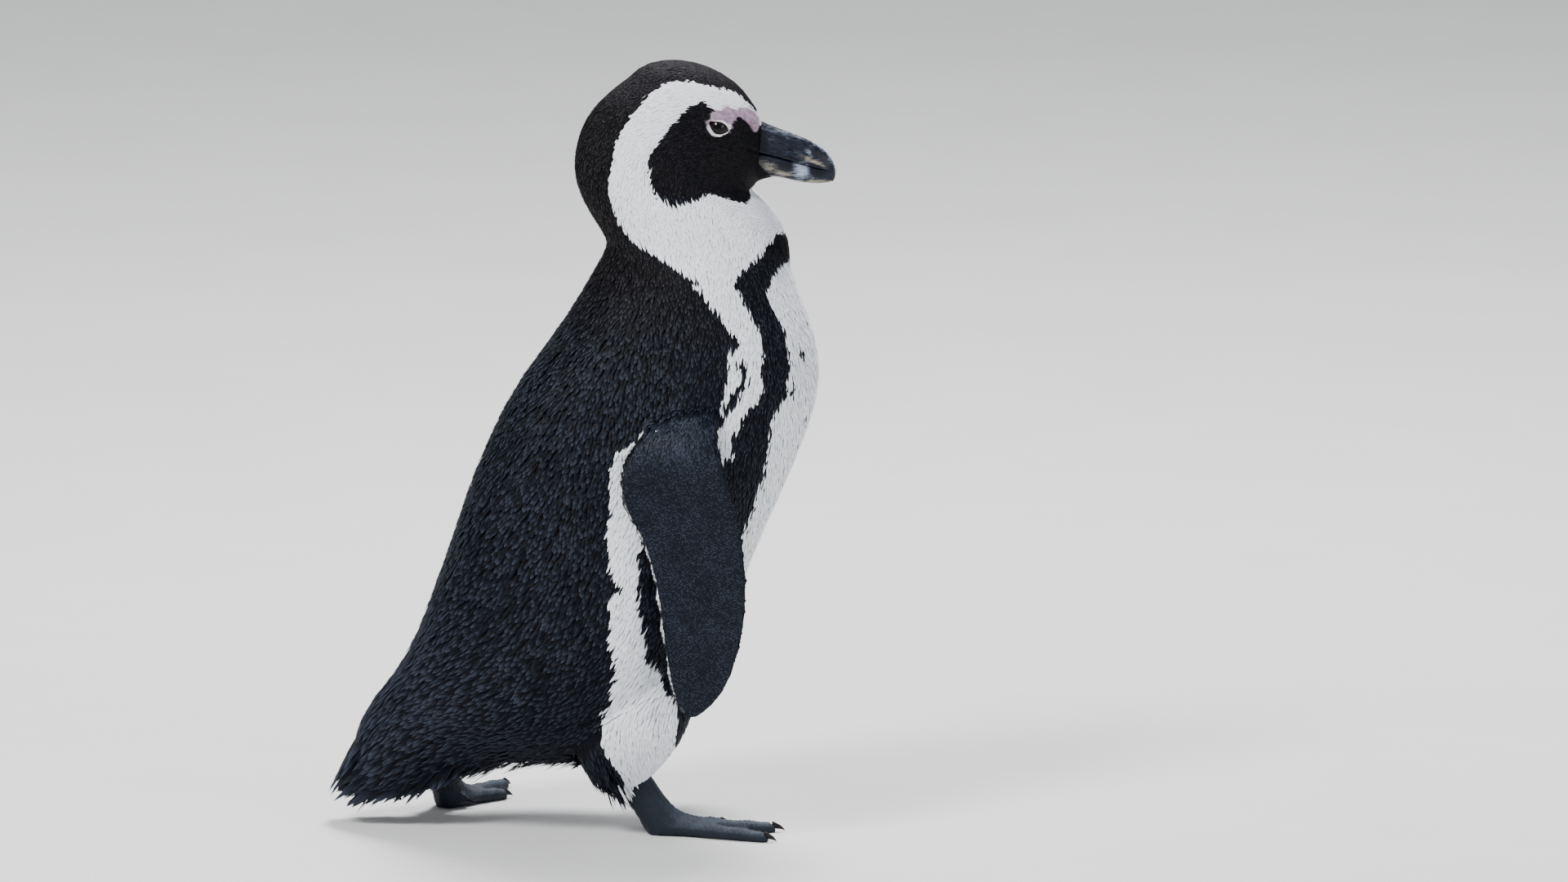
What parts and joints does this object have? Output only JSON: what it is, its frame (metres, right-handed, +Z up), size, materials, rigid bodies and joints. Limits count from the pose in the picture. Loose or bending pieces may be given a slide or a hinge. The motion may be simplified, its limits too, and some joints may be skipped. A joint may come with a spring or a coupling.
{
  "type": "african penguin",
  "caption": "Life-size still model of an African penguin standing in mid-step, for museum-style display",
  "frame": {"origin": "on the floor under the middle of the whole bird's box", "axes": "+X is the way the bird looks, +Y its left, +Z up"},
  "size_m": [0.3287, 0.2253, 0.5011],
  "materials": {
    "black_feathers": "short overlapping black feathers with a faint sheen",
    "white_feathers": "short dense white feathers",
    "flipper_feathers": "tiny scale-like slate feathers",
    "horn": "dark slate horn with pale patches and fine grooves",
    "eye": "wet dark brown eye",
    "foot_skin": "scaly dark webbed skin",
    "claw": "dark horn claws"
  },
  "bodies": {
    "root": {"head": "black_feathers", "neck": "white_feathers", "trunk": "black_feathers", "tail": "black_feathers", "flipper_left": "flipper_feathers", "flipper_right": "flipper_feathers", "leg_left": "white_feathers", "leg_right": "white_feathers", "bill_upper": "horn", "bill_lower": "horn", "eye_left": "eye", "eye_right": "eye", "foot_left": "foot_skin", "foot_right": "foot_skin", "claw_inner_left": "claw", "claw_middle_left": "claw", "claw_outer_left": "claw", "claw_hind_left": "claw", "claw_inner_right": "claw", "claw_middle_right": "claw", "claw_outer_right": "claw", "claw_hind_right": "claw"}
  },
  "joints": []
}
